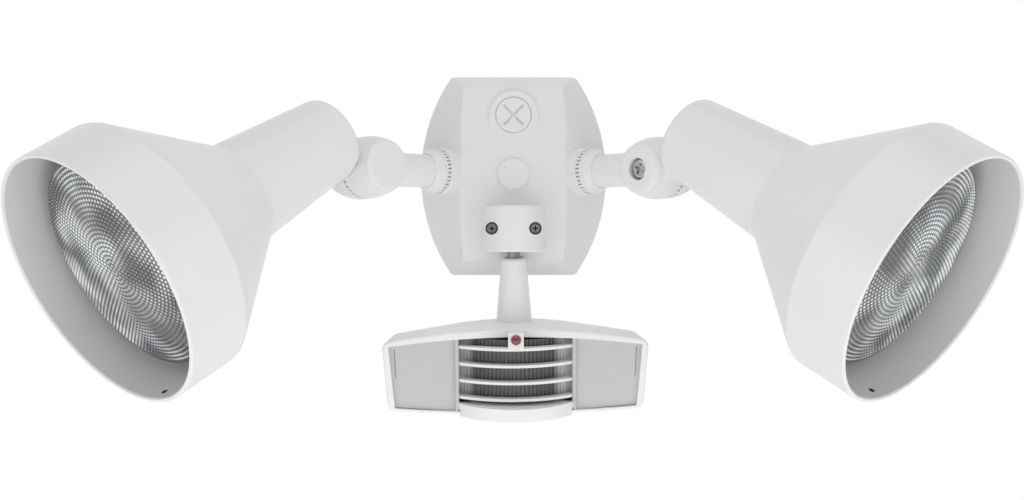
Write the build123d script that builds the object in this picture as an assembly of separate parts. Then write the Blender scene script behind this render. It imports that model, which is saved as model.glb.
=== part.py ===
from build123d import *
from math import asin, cos, sin, sqrt
import os

# Security light for a wall box: a cast cover carries two swivelling lampholders with reflector bulbs and,
# below them, a motion sensor on a ball swivel. Sizes are in millimetres and angles in degrees.
# Frame: +Z up, +X to the right of someone who faces the light, the wall is the plane Y = 0.

# Fits
running_gap = 0.3
shaft_gap = 0.05
seat_gap = 0.1
panel_gap = 0.4
screw_clearance = 0.2
head_clearance = 0.5

# Reach of a cut that has to pass through everything before it
beyond = 100.0

# Cover casting
cover_width = 116.5
cover_height = 124.7
cover_depth = 25.0
cover_wall = 2.6
cover_end_half = 39.0
skirt_height = 3.0
cover_corner = 4.0
plateau_top = 52.2
plateau_bottom = -53.4
plateau_top_half = 28.2
plateau_half = 32.6
plateau_bottom_half = 31.0
plateau_corner = 1.5
plateau_round = 1.0
skirt_round = 1.0
lean_angle = 5.5
lean_start = 14.0
gasket_thickness = 2.0
gasket_width = 6.0
gasket_inset = 0.4

# Mounting strap, which lies inside the gasket, and its bolt
strap_clearance = 1.25
strap_length = cover_width - 2 * (gasket_width + strap_clearance)
strap_width = 20.0
strap_thickness = 1.9
strap_corner = 5.0
strap_collar_radius = 4.6
strap_collar_height = 1.6
strap_end = 6.55
strap_slot_step = 9.5
strap_hole_spacing = strap_length - 2 * strap_end
strap_inner_spacing = strap_hole_spacing - 2 * strap_slot_step
slot_width = 4.8
slot_length = 9.0
bolt_radius = 2.1
bolt_head_radius = 3.9
bolt_head_height = 2.8
bolt_seat_depth = 6.0
bolt_boss_radius = 8.4
cap_radius = 9.6
cap_height = 2.6
cap_stem_radius = 5.2

# Closure plug in its raised pad
plug_height = 36.8
plug_radius = 11.0
plug_thread_radius = 10.4
plug_head = 2.6
plug_length = 9.0
pad_radius = 15.0
pad_front = 24.0
pad_leg = 17.0
recess_span = 17.0
recess_width = 1.7
recess_depth = 1.6

# Lamp hubs, stems and locknuts
hub_inset = 10.45
hub_x = cover_width / 2 - hub_inset
hub_y = -20.0
hub_z = 2.0
hub_azimuth = 45.0
hub_radius = 14.9
hub_chamfer = 0.6
hub_inside = 13.0
stem_radius = 10.2
stem_bore_radius = 7.0
stem_bore_end = 34.0
stem_chamfer = 1.0
stem_swell = 0.5
swell_start = 24.0
swell_full = 20.0
swell_end = 8.0
nut_radius = 14.1
nut_band = 3.8
nut_length = 9.5
nut_nose_radius = 11.4
nut_teeth = 34
nut_tooth_depth = 0.7
nut_groove = 0.9
pivot_distance = 56.2

# Knuckle, both halves alike
knuckle_radius = 18.3
knuckle_face_radius = 15.1
arm_half = 20.7
holder_half = 22.3
arm_face_round = 2.0
holder_face_round = 4.0
knuckle_flange = 2.5
tooth_count = 36
tooth_depth = 1.2
tooth_ring_inner = 11.5
swivel_screw_radius = 2.9
swivel_head_radius = 6.0
swivel_head_height = 3.6
swivel_counterbore = 5.2
swivel_screw_reach = 13.0
swivel_recess = 2.0

# Lampholder casting, measured along its axis from the knuckle's pivot
tail_start = 10.7
tail_offset = 2.9
tail_rise = 26.4
tail_radius = 23.8
tail_round = 5.0
tail_wall = 8.5
neck_length = 77.2
neck_radius = 29.6
cone_length = 61.0
hood_rear_radius = 72.0
hood_length = 36.1
rim_radius = 71.3
holder_wall = 2.3
neck_crease = 5.0
hood_crease = 4.0
rim_round = 0.9
weep_radius = 1.6
weep_inset = 7.0
wire_hole_radius = 3.2
web_corners = ((4, 6), (12, 9), (30, 8), (17, 0), (6, 0))
web_start = 2.0
web_margin = 8.0

# Socket, seal and bulb
socket_radius = 19.0
socket_lip = 1.0
shell_radius = 14.0
shell_wall = 0.5
shell_length = 24.0
contact_radius = 4.5
contact_thickness = 0.8
seal_thickness = 5.0
seal_standoff = 4.0
bulb_radius = 60.3
bulb_length = 135.0
bulb_setback = 21.0
lens_crown = 8.0
lens_band = 7.0
lens_glass = 3.0
reflector_depth = 70.0
reflector_glass = 2.0
bulb_neck_radius = 17.0
base_radius = 13.2
base_length = 25.0

# Rest angles of the two lampholders, read from the photographed pose
holder_tilt = 28.5
holder_roll = {"left": 2.5, "right": 4.2}
holder_turn = {"left": -180.0 + hub_azimuth, "right": -hub_azimuth}

# Sensor swivel and clamp
ball_radius = 8.5
ball_y = -38.5
ball_z = -38.0
ball_flat = 4.5
ball_lip = 0.2
ball_swing = -22.0
clamp_half_width = 18.7
clamp_top = -19.8
clamp_bottom = -47.8
clamp_centre_y = -31.5
clamp_screw_x = 13.2
clamp_screw_z = -33.5
clamp_screw_radius = 1.9
clamp_head_radius = 3.4
clamp_head_height = 2.4
clamp_head_y = -36.0
clamp_screw_length = 16.0
clamp_screw_land = 0.8
clamp_screw_boss = 8.0
clamp_screw_recess = 1.3
clamp_round = 1.2
clamp_hollow_wall = 9.0
seat_radius = 12.0
seat_flare = 2.6
seat_taper = 2.0
seat_tip = 3.5
seat_z = -33.6
stud_radius = 4.0
stud_bore = 2.6
stud_head_radius = 5.0
stud_head_height = 1.4
sensor_tilt = 8.0
sensor_lean = -0.4
sensor_turn = 1.4

# Sensor housing, measured from the ball's centre
arm_top = -15.0
arm_top_radius = 7.8
arm_base_radius = 10.9
arm_round = 2.6
arm_socket_depth = 12.0
housing_front = -31.0
housing_waist = -10.0
waist_draft = 2.0
waist_corner = 8.0
housing_back = 11.5
housing_half = 79.3
housing_heel_half = 76.0
housing_crown = -51.6
housing_shoulder = -59.0
housing_heel = -100.4
housing_bottom = -103.4
housing_corner = 5.0
housing_round = 1.4
housing_split = -80.0
housing_wall = 2.2
bezel_side = 4.0
bezel_crown = 4.8
bezel_shoulder = 2.4
bezel_bottom = 1.6
bezel_depth = 2.5
bezel_lip = 1.6
back_half = 44.0
back_heel_half = 40.0
back_crown = -53.0
back_shoulder = -57.0
back_heel = -95.0
back_bottom = -97.0
back_corner = 10.0
panel_thickness = 1.6

# Louvre, lens and indicator
bay_half = 35.4
louvre_wall = 1.4
louvre_front = -40.0
louvre_ends = -28.0
fin_count = 4
fin_first = -62.2
fin_pitch = 10.1
fin_thickness = 1.6
fin_depth = 5.5
chin_front = -48.0
chin_top = -96.0
chin_bottom = -103.6
lens_front = -34.0
lens_sheet = 1.2
lens_clearance = 1.0
led_z = -55.9
led_radius = 3.0
led_boss_width = 9.1
led_boss_top = -51.6
led_boss_front = -42.0

# Sensor electronics and adjusters
board_half = 42.0
board_thickness = 1.6
board_top = -62.0
pyro_radius = 4.6
pyro_length = 4.4
pyro_z = -78.0
relay_size = (19.0, 12.0, 15.0)
relay_x = -20.0
capacitor_radius = 5.0
capacitor_length = 11.2
capacitor_x = 16.0
dial_x = 15.0
dial_y = -12.0
dial_radius = 5.5
dial_height = 3.2
dial_shaft_radius = 2.0
dial_boss = 1.2
dial_wall = 3.0
dial_rise = 1.5
dial_web = 0.4
dial_slot_half = 0.6
pot_size = (10.0, 10.0, 5.0)
pot_cap = 0.8
shaft_end_gap = 0.2
post_x = 62.0
post_y = -19.0
post_radius = 4.0
case_screw_radius = 1.4
case_screw_head = 2.7
case_screw_length = 24.0
case_screw_sink = 5.0
case_screw_recess = 1.0
case_screw_rise = 1.8


def facing(depth):
    return Plane(origin=(0, depth, 0), x_dir=(1, 0, 0), z_dir=(0, -1, 0))


def turned(points):
    # A solid of revolution about X: each point is (distance along X, radius).
    return revolve(Plane.XY * make_face(Polyline(*points, close=True)), Axis.X)


def along_y(radius, start, end, x=0.0, z=0.0):
    low, high = min(start, end), max(start, end)
    return Pos(x, (low + high) / 2, z) * Rot(90, 0, 0) * Cylinder(radius, high - low)


def along_z(radius, start, end, x=0.0, y=0.0):
    low, high = min(start, end), max(start, end)
    return Pos(x, y, (low + high) / 2) * Cylinder(radius, high - low)


def block(x_range, y_range, z_range):
    size = [abs(b - a) for a, b in (x_range, y_range, z_range)]
    middle = [(a + b) / 2 for a, b in (x_range, y_range, z_range)]
    return Pos(*middle) * Box(*size)


def only(shape):
    # The largest solid of a result, as a plain solid.
    return sorted(shape.solids(), key=lambda piece: piece.volume)[-1]


# Cover

def bowed_outline(top, bottom, top_half, middle_half, bottom_half, corner):
    right = ThreePointArc((top_half, top), (middle_half, 0), (bottom_half, bottom))
    left = ThreePointArc((-bottom_half, bottom), (-middle_half, 0), (-top_half, top))
    across_top = Line((-top_half, top), (top_half, top))
    across_bottom = Line((bottom_half, bottom), (-bottom_half, bottom))
    outline = make_face([across_top, right, across_bottom, left])
    return fillet(outline.vertices(), corner)


def cover_outline(inset, corner=cover_corner):
    half = cover_height / 2 - inset
    middle = cover_width / 2 - inset
    return bowed_outline(half, -half, cover_end_half - inset * 0.7, middle, cover_end_half - inset * 0.7,
                         corner)


def plateau_outline(inset):
    side = inset * 0.6
    return bowed_outline(plateau_top - side, plateau_bottom + side, plateau_top_half - side,
                         plateau_half - side, plateau_bottom_half - side, plateau_corner)


def cover_form(inset, back):
    shoulder = -gasket_thickness - skirt_height
    front = -cover_depth + inset
    skirt = extrude(facing(back) * cover_outline(inset), back - shoulder)
    sections = [facing(shoulder) * cover_outline(inset), facing(front) * plateau_outline(inset)]
    form = skirt + loft(sections, ruled=True)
    wedge = Box(cover_width, cover_depth, cover_height, align=(Align.CENTER, Align.MAX, Align.MIN))
    return form - Pos(0, front, lean_start) * Rot(-lean_angle, 0, 0) * wedge


def cover_outside():
    # The cover's form with the edges of its plateau and skirt softened.
    form = cover_form(0, -gasket_thickness)
    rim = form.edges().filter_by(lambda edge: abs(edge.center().Y + gasket_thickness + skirt_height) < 0.01)
    form = fillet(rim, skirt_round)
    front = form.edges().filter_by(lambda edge: edge.center().Y < -0.7 * cover_depth)
    crease = front.sort_by_distance((0, -cover_depth, lean_start))[0]
    return fillet([edge for edge in front if edge != crease], plateau_round)


def stem_frame(side):
    offset = -hub_x if side == "left" else hub_x
    return Pos(offset, hub_y, hub_z) * Rot(0, 0, holder_turn[side])


def hub(side):
    # A round boss that stands out of the sloping side of the cover.
    form = turned([(0, 0), (0, hub_radius - hub_chamfer), (-hub_chamfer, hub_radius),
                   (-hub_inside, hub_radius), (-hub_inside, 0)])
    return stem_frame(side) * form


def seat_mound(gap, tip):
    # A tapered round form from the cover's face to a place behind the ball's centre.
    return loft([facing(-cover_depth + 1) * Circle(seat_radius + seat_flare + gap),
                 facing(ball_y + tip) * Circle(seat_radius - seat_taper + gap)])


def clamp_seat():
    # A low mound that carries the ball from behind.
    return Pos(0, 0, seat_z) * seat_mound(0, seat_tip)


def cover_plate():
    body = cover_outside() - cover_form(cover_wall, -gasket_thickness + 1)
    pad = Pos(0, plug_height) * Circle(pad_radius)
    pad += Pos(0, plug_height - pad_leg / 2) * Rectangle(2 * pad_radius, pad_leg)
    pad_back = -pad_front + 2 * cover_wall
    body += extrude(facing(pad_back) * pad, pad_back + pad_front)
    body += along_y(bolt_boss_radius, -cover_depth + 0.5, -cover_depth + bolt_seat_depth + 3)
    body += clamp_seat()
    for x in (-clamp_screw_x, clamp_screw_x):
        body += along_y(clamp_head_radius + clamp_screw_land, -cover_depth, -cover_depth + clamp_screw_boss,
                        x, clamp_screw_z)
    for side in holder_turn:
        body += hub(side)
        body -= stem_frame(side) * turned([(1, 0), (1, stem_radius + shaft_gap),
                                           (-hub_inside - 1, stem_radius + shaft_gap), (-hub_inside - 1, 0)])
    body -= block((-beyond, beyond), (-gasket_thickness, beyond), (-beyond, beyond))
    body -= along_y(plug_radius + screw_clearance, -beyond, -pad_front + plug_head, 0, plug_height)
    body -= along_y(plug_thread_radius + shaft_gap, -beyond, 0, 0, plug_height)
    body -= along_y(cap_stem_radius + shaft_gap, -beyond, -cover_depth + bolt_seat_depth)
    body -= along_y(bolt_radius + screw_clearance, -cover_depth, 0)
    body -= Pos(0, ball_y, ball_z) * Sphere(ball_radius + seat_gap)
    body -= block((-seat_radius, seat_radius), (-beyond, -cover_depth), (-beyond, clamp_bottom))
    body -= Pos(0, ball_y, ball_z) * along_z(ball_radius - ball_lip, ball_swing, 0)
    for x in (-clamp_screw_x, clamp_screw_x):
        body -= along_y(clamp_screw_radius + shaft_gap, -beyond, -cover_depth + clamp_screw_boss - 1, x,
                        clamp_screw_z)
    return only(body)


def cover_gasket():
    ring = cover_outline(gasket_inset) - cover_outline(gasket_width)
    return extrude(facing(0) * ring, gasket_thickness)


def mounting_strap():
    blank = extrude(facing(0) * RectangleRounded(strap_length, strap_width, strap_corner), strap_thickness)
    collar = along_y(strap_collar_radius, -strap_thickness - strap_collar_height, 0)
    strap = blank + collar
    for spacing in (strap_hole_spacing, strap_inner_spacing):
        for x in (-spacing / 2, spacing / 2):
            slot = Pos(x, 0) * SlotOverall(slot_length, slot_width)
            strap -= extrude(facing(1) * slot, strap_thickness + 2)
    return strap - along_y(bolt_radius + shaft_gap, -6, 1)


def centre_bolt():
    seat = -cover_depth + bolt_seat_depth
    head = along_y(bolt_head_radius, seat - bolt_head_height, seat)
    head = fillet(head.edges().group_by(Axis.Y)[0], 1.2)
    slot = block((-0.6, 0.6), (seat - bolt_head_height - 1, seat - bolt_head_height + 1.3), (-5, 5))
    return head - slot + along_y(bolt_radius, seat, -0.6)


def bolt_cap():
    head = along_y(cap_radius, -cover_depth - cap_height, -cover_depth)
    head = fillet(head.edges().group_by(Axis.Y)[0], 1.0)
    stem_end = -cover_depth + bolt_seat_depth - bolt_head_height - 0.1
    return head + along_y(cap_stem_radius, -cover_depth, stem_end)


def closure_plug():
    front = -pad_front
    plug = along_y(plug_radius, front, front + plug_head, 0, plug_height)
    plug = chamfer(plug.edges().group_by(Axis.Y)[0], 0.5)
    plug += along_y(plug_thread_radius, front + plug_head, front + plug_length, 0, plug_height)
    for turn in (45, -45):
        arm = Box(recess_span, 2 * recess_depth, recess_width)
        plug -= Pos(0, front, plug_height) * Rot(0, turn, 0) * arm
    return plug


def sensor_clamp():
    height = clamp_top - clamp_bottom
    plan = Pos(0, clamp_centre_y) * Circle(clamp_half_width)
    depth = -cover_depth - clamp_centre_y + clamp_half_width
    plan += Pos(0, (clamp_centre_y - cover_depth) / 2) * Rectangle(2 * clamp_half_width,
                                                                   -cover_depth - clamp_centre_y)
    plan &= Pos(0, -cover_depth - seat_gap - depth / 2) * Rectangle(3 * clamp_half_width, depth)
    clamp = Pos(0, 0, clamp_bottom) * extrude(plan, height)
    clamp = fillet(clamp.edges().filter_by(GeomType.CIRCLE), clamp_round)
    inner = Pos(0, clamp_centre_y + clamp_hollow_wall - 5) * Circle(clamp_half_width - clamp_hollow_wall)
    clamp -= Pos(0, 0, ball_z + ball_radius - 1.5) * extrude(Plane.XY * inner,
                                                             clamp_top - ball_z - ball_radius - 1.5)
    clamp -= Pos(0, 0, seat_z) * seat_mound(seat_gap, seat_tip - seat_gap)
    clamp -= Pos(0, ball_y, ball_z) * Sphere(ball_radius + seat_gap)
    clamp -= Pos(0, ball_y, ball_z) * along_z(ball_radius - ball_lip, -beyond, 0)
    clamp -= block((-ball_radius, ball_radius), (ball_y, 0), (clamp_bottom - 1, ball_z))
    for x in (-clamp_screw_x, clamp_screw_x):
        clamp -= along_y(clamp_head_radius + head_clearance, clamp_head_y, -beyond, x, clamp_screw_z)
        clamp -= along_y(clamp_screw_radius + screw_clearance, -beyond, 0, x, clamp_screw_z)
    return only(clamp)


def pan_screw(radius, head_radius, head_height, length, recess):
    # A screw along +Y with its head's seat at the origin and a cross recess.
    head = along_y(head_radius, -head_height, 0)
    head = fillet(head.edges().group_by(Axis.Y)[0], head_height * 0.45)
    for turn in (0, 90):
        head -= Pos(0, -head_height, 0) * Rot(0, turn, 0) * Box(head_radius * 1.1, 2 * recess,
                                                                head_radius * 0.26)
    return head + along_y(radius, 0, length)


def clamp_screws():
    screw = pan_screw(clamp_screw_radius, clamp_head_radius, clamp_head_height, clamp_screw_length,
                      clamp_screw_recess)
    return [Pos(x, clamp_head_y, clamp_screw_z) * screw for x in (-clamp_screw_x, clamp_screw_x)]


# Lamp arms, in the stem's frame: X runs out along the stem, the origin is the hub's face

def locknut():
    nut = turned([(0, stem_radius + shaft_gap), (0, nut_radius), (nut_band, nut_radius),
                  (nut_band + 0.4, nut_radius - nut_groove),
                  (nut_band + 1.6, nut_radius - nut_groove + 0.2), (nut_length - 2, nut_nose_radius + 0.5),
                  (nut_length, nut_nose_radius - 0.5), (nut_length, stem_radius + shaft_gap)])
    notch = Pos(0, 0, nut_radius) * Rot(45, 0, 0) * Box(2 * (nut_band - 1.0), nut_tooth_depth * 1.4,
                                                        nut_tooth_depth * 1.4)
    notches = [Rot(360 * i / nut_teeth, 0, 0) * notch for i in range(nut_teeth)]
    return only(nut - notches)


def knuckle_half_form(thickness, face_round):
    # The half lies on +Y from the seam at Y = 0 to its round face.
    profile = Polyline((0, 0), (knuckle_radius, 0), (knuckle_radius, knuckle_flange))
    wall = ThreePointArc((knuckle_radius, knuckle_flange),
                         ((knuckle_radius + knuckle_face_radius) / 2 + 0.7, thickness * 0.55),
                         (knuckle_face_radius, thickness - face_round))
    rounding = ThreePointArc((knuckle_face_radius, thickness - face_round),
                             (knuckle_face_radius - face_round * 0.3, thickness - face_round * 0.3),
                             (knuckle_face_radius - face_round, thickness))
    closing = Polyline((knuckle_face_radius - face_round, thickness), (0, thickness), (0, 0))
    return revolve(make_face([profile, wall, rounding, closing]), Axis.Y)


def tooth_grooves():
    # Radial V grooves across the seam face, cut into the half on +Y.
    width = tooth_depth * sqrt(2)
    reach = knuckle_radius - tooth_ring_inner + 2
    groove = Pos(tooth_ring_inner + reach / 2, 0, 0) * Rot(45, 0, 0) * Box(reach, width, width)
    return [Rot(0, 360 * i / tooth_count, 0) * groove for i in range(tooth_count)]


def lamp_arm():
    start = -hub_inside + stem_chamfer
    stem = turned([(start, 0), (start, stem_radius - stem_chamfer), (start + stem_chamfer, stem_radius),
                   (pivot_distance - swell_start, stem_radius),
                   (pivot_distance - swell_full, stem_radius + stem_swell),
                   (pivot_distance - swell_end, stem_radius + stem_swell), (pivot_distance - swell_end, 0)])
    pivot = Pos(pivot_distance, 0, 0)
    stem -= pivot * along_y(knuckle_radius + running_gap, -beyond, seat_gap / 2)
    half = Pos(0, seat_gap / 2, 0) * (knuckle_half_form(arm_half, arm_face_round) - tooth_grooves())
    half -= along_y(swivel_screw_radius, -1, swivel_screw_reach)
    bore = turned([(-hub_inside, 0), (-hub_inside, stem_bore_radius), (stem_bore_end, stem_bore_radius),
                   (stem_bore_end + 3, 0)])
    return only(stem - bore + pivot * half)


# Lampholder and its contents, in the head's frame: X runs out along the lamp, the origin is the pivot

axis_y = -tail_offset
neck_end = tail_start + neck_length
cone_end = neck_end + cone_length
rim_end = cone_end + hood_length
lens_edge = rim_end - bulb_setback
bulb_tip = lens_edge + lens_crown - bulb_length
socket_start = tail_start + tail_wall
socket_end = bulb_tip + base_length - socket_lip


def on_lamp_axis(shape):
    return Pos(0, axis_y, tail_rise) * shape


def rounded_turning(points, rounds):
    # A solid of revolution about X: rounds gives the radius for each corner that is rounded.
    profile = make_face(Polyline(*points, close=True))
    for index, radius in rounds.items():
        x, y = points[index]
        corner = profile.vertices().sort_by_distance((x, y, 0))[0]
        profile = fillet(corner, radius)
    return revolve(profile, Axis.X)


def holder_outside():
    points = [(tail_start, 0), (tail_start, tail_radius), (neck_end, neck_radius),
              (cone_end, hood_rear_radius),
              (rim_end, rim_radius), (rim_end, 0)]
    return rounded_turning(points, {1: tail_round, 2: neck_crease, 3: hood_crease, 4: rim_round})


def inner_neck_radius(x):
    return tail_radius + (neck_radius - tail_radius) * (x - tail_start) / neck_length - holder_wall


def holder_inside():
    # The cavity follows the outside at the wall's thickness and opens a little at the rim.
    slope = (hood_rear_radius - neck_radius) / cone_length
    shift = holder_wall * (sqrt(1 + slope ** 2) - 1) / slope
    lip = rim_end - rim_round
    inner = rim_radius - holder_wall
    points = [(socket_start, 0), (rim_end + 1, 0), (rim_end + 1, inner + rim_round),
              (rim_end, inner + rim_round * 0.6),
              (lip, inner),
              (cone_end + shift, hood_rear_radius - holder_wall),
              (neck_end + shift, neck_radius - holder_wall),
              (socket_start, inner_neck_radius(socket_start))]
    return rounded_turning(points, {4: rim_round, 5: hood_crease, 6: neck_crease})


def lampholder():
    half = Pos(0, -seat_gap / 2, 0) * mirror(knuckle_half_form(holder_half, holder_face_round), Plane.XZ)
    web = Plane.XZ * make_face(Polyline(*web_corners, close=True))
    web = Pos(0, -web_start, 0) * extrude(web, holder_half - web_margin)
    body = on_lamp_axis(holder_outside()) + half + web
    body -= on_lamp_axis(holder_inside())
    body -= along_y(knuckle_radius + running_gap, seat_gap / 2, beyond)
    body -= [Pos(0, -seat_gap / 2, 0) * groove for groove in tooth_grooves()]
    body -= along_y(swivel_screw_radius + screw_clearance, -beyond, 1)
    body -= along_y(swivel_head_radius + head_clearance, -beyond, -holder_half + swivel_counterbore)
    body -= along_y(wire_hole_radius, axis_y - wire_hole_radius, axis_y + wire_hole_radius, tail_start,
                    tail_rise)
    body -= Pos(rim_end - weep_inset, axis_y, tail_rise - rim_radius) * Cylinder(weep_radius, 12)
    return only(body)


def swivel_screw():
    seat = -holder_half + swivel_counterbore
    screw = pan_screw(swivel_screw_radius - shaft_gap, swivel_head_radius, swivel_head_height,
                      swivel_screw_reach - 1 - seat, swivel_recess)
    return Pos(0, seat, 0) * screw


def socket_body():
    floor = bulb_tip - contact_thickness - seat_gap
    body = turned([(socket_start, 0), (socket_start, socket_radius - 2), (socket_start + 2, socket_radius),
                   (socket_end, socket_radius), (socket_end, shell_radius + shaft_gap),
                   (floor, shell_radius + shaft_gap), (floor, 0)])
    return on_lamp_axis(body)


def screw_shell():
    start = socket_end - shell_length
    tube = turned([(start, shell_radius - shell_wall), (start, shell_radius), (socket_end, shell_radius),
                   (socket_end, shell_radius - shell_wall)])
    return on_lamp_axis(tube)


def centre_contact():
    start = bulb_tip - contact_thickness - seat_gap
    return on_lamp_axis(turned([(start, 0), (start, contact_radius),
                                (start + contact_thickness, contact_radius),
                                (start + contact_thickness, 0)]))


def bulb_seal():
    start = socket_end + seal_standoff
    outer = inner_neck_radius(start) - shaft_gap
    ring = turned([(start, bulb_neck_radius + shaft_gap), (start, outer), (start + seal_thickness, outer),
                   (start + seal_thickness, bulb_neck_radius + shaft_gap)])
    return on_lamp_axis(ring)


def dome(x, radius, crown):
    # A shallow spherical arc from (x, radius) to its crown on the axis.
    sphere = (radius ** 2 + crown ** 2) / (2 * crown)
    half_angle = asin(radius / sphere) / 2
    middle = (x + crown - sphere * (1 - cos(half_angle)), sphere * sin(half_angle))
    return ThreePointArc((x, radius), middle, (x + crown, 0))


def bulb_lens():
    # A shallow domed glass with a straight band at its edge.
    back = lens_edge - lens_band
    inside = bulb_radius - lens_glass
    outer_dome = dome(lens_edge, bulb_radius, lens_crown)
    inner_dome = dome(lens_edge - 1, inside, lens_crown - lens_glass + 1)
    outline = [Line((back, inside), (back, bulb_radius)), Line((back, bulb_radius), (lens_edge, bulb_radius))]
    outline += [outer_dome, Line((lens_edge + lens_crown, 0), (lens_edge + lens_crown - lens_glass, 0))]
    outline += [inner_dome, Line((lens_edge - 1, inside), (back, inside))]
    return on_lamp_axis(revolve(make_face(outline), Axis.X))


def bulb_reflector():
    # A parabola from the lens back to the bulb's neck, with the neck drawn down to the base.
    vertex = lens_edge - lens_band - reflector_depth
    radii = [bulb_neck_radius + (bulb_radius - bulb_neck_radius) * i / 6 for i in range(7)]
    outer = [(vertex + reflector_depth * (r / bulb_radius) ** 2, r) for r in radii]
    inner = [(x, r - reflector_glass) for x, r in outer]
    base_end = bulb_tip + base_length
    edges = [Spline(*outer), Line(outer[-1], inner[-1]), Spline(*inner[::-1])]
    edges += [Line(inner[0], (base_end + 6, bulb_neck_radius - reflector_glass))]
    edges += [Line((base_end + 6, bulb_neck_radius - reflector_glass),
                   (base_end, base_radius - reflector_glass))]
    edges += [Line((base_end, base_radius - reflector_glass), (base_end, base_radius))]
    edges += [Line((base_end, base_radius), (base_end + 5, bulb_neck_radius))]
    edges += [Line((base_end + 5, bulb_neck_radius), outer[0])]
    return on_lamp_axis(revolve(make_face(edges), Axis.X))


def bulb_base():
    end = bulb_tip + base_length
    tip = bulb_tip + 1.2
    thread = base_radius - 0.1
    return on_lamp_axis(turned([(tip + 2.6, 0), (tip, 4.6), (tip + 3.5, 9.5), (tip + 5, thread),
                                (end, thread), (end, 0)]))


def bulb_tip_contact():
    cup = [(bulb_tip, 0), (bulb_tip, 3.4), (bulb_tip + 1.0, 4.4), (bulb_tip + 1.2, 4.4),
           (bulb_tip + 3.6, 0.01)]
    return on_lamp_axis(turned(cup))


# Sensor swivel, in the sensor's frame: the origin is the ball's centre and the arm hangs down -Z

dial_floor = housing_bottom + housing_wall + dial_rise
pot_top = dial_floor + dial_boss + pot_size[2]
board_y = dial_y + pot_size[1] / 2 - board_thickness


def sensor_frame():
    return Pos(0, ball_y, ball_z) * Rot(sensor_tilt, sensor_lean, sensor_turn)


def swivel_ball():
    ball = Sphere(ball_radius) - along_z(ball_radius, ball_flat, ball_radius + 1)
    ball -= along_z(ball_radius, -ball_radius - 1, -ball_radius + 0.8)
    return ball - along_z(stud_radius + shaft_gap, -ball_radius - 1, ball_radius + 1)


def arm_stud():
    stud = along_z(stud_radius, arm_top - arm_socket_depth, ball_flat)
    stud += along_z(stud_head_radius, ball_flat + shaft_gap, ball_flat + shaft_gap + stud_head_height)
    stud += along_z(stud_radius, ball_flat, ball_flat + shaft_gap)
    return stud - along_z(stud_bore, arm_top - arm_socket_depth - 1, ball_radius + 1)


def housing_outline(inset, half, heel_half, crown, shoulder, heel, bottom, corner):
    top_half = half - inset
    low_half = heel_half - inset
    shoulder_z = shoulder - inset
    heel_z = heel + inset
    over = ThreePointArc((-top_half, shoulder_z), (0, crown - inset), (top_half, shoulder_z))
    right = Line((top_half, shoulder_z), (low_half, heel_z))
    under = ThreePointArc((low_half, heel_z), (0, bottom + inset), (-low_half, heel_z))
    left = Line((-low_half, heel_z), (-top_half, shoulder_z))
    outline = make_face([over, right, under, left])
    return fillet(outline.vertices(), corner)


def front_outline(inset):
    return housing_outline(inset, housing_half, housing_heel_half, housing_crown, housing_shoulder,
                           housing_heel, housing_bottom, max(housing_corner - inset, 1.0))


def face_opening(inset):
    # The bezel is wide over the face, narrower at the sides and thin below it.
    return housing_outline(inset, housing_half - bezel_side, housing_heel_half - bezel_side,
                           housing_crown - bezel_crown,
                           housing_shoulder - bezel_shoulder, housing_heel + bezel_bottom,
                           housing_bottom + bezel_bottom, 1.2)


def housing_form(inset, front):
    waist = housing_outline(inset, housing_half - waist_draft, housing_heel_half - waist_draft,
                            housing_crown - 0.2, housing_shoulder + 0.5, housing_heel + 1,
                            housing_bottom + 1.5, waist_corner - inset)
    back = housing_outline(inset, back_half, back_heel_half, back_crown, back_shoulder, back_heel,
                           back_bottom, back_corner - inset)
    ruled = loft([facing(front) * front_outline(inset), facing(housing_waist) * waist], ruled=True)
    return ruled + loft([facing(housing_waist) * waist, facing(housing_back - inset) * back], ruled=True)


def sensor_arm():
    base = housing_crown - 1.5
    arm = turned([(-base, 0), (-base, arm_base_radius), (-arm_top + arm_round, arm_top_radius + 0.15),
                  (-arm_top + arm_round * 0.3, arm_top_radius - arm_round * 0.3),
                  (-arm_top, arm_top_radius - arm_round), (-arm_top, 0)])
    return Rot(0, 90, 0) * arm


def housing_shell():
    form = housing_form(0, housing_front)
    face = form.edges().filter_by(lambda edge: abs(edge.center().Y - housing_front) < 0.01)
    shell = fillet(face, housing_round)
    shell -= housing_form(housing_wall, housing_front + bezel_depth)
    shell -= extrude(facing(housing_front + 10) * face_opening(0), 20)
    return shell


def case_post(x, start, end):
    return along_z(post_radius, start, end, x, post_y)


def sensor_housing():
    below = block((-beyond, beyond), (-beyond, beyond), (housing_split - beyond, housing_split))
    shell = housing_shell() - below + (sensor_arm() - housing_form(housing_wall, housing_front + bezel_depth))
    for x in (-post_x, post_x):
        shell += case_post(x, housing_split, housing_shoulder - 0.5)
        shell -= along_z(case_screw_radius, housing_split - 1, housing_split + case_screw_length / 2, x,
                         post_y)
    shell -= along_z(stud_radius + shaft_gap, arm_top - arm_socket_depth, 0)
    shell -= along_z(stud_bore + 0.6, housing_crown - 8, 0)
    shell -= along_z(led_boss_width / 2, led_z - 3, led_z + 3, 0, housing_front)
    return only(shell)


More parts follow.
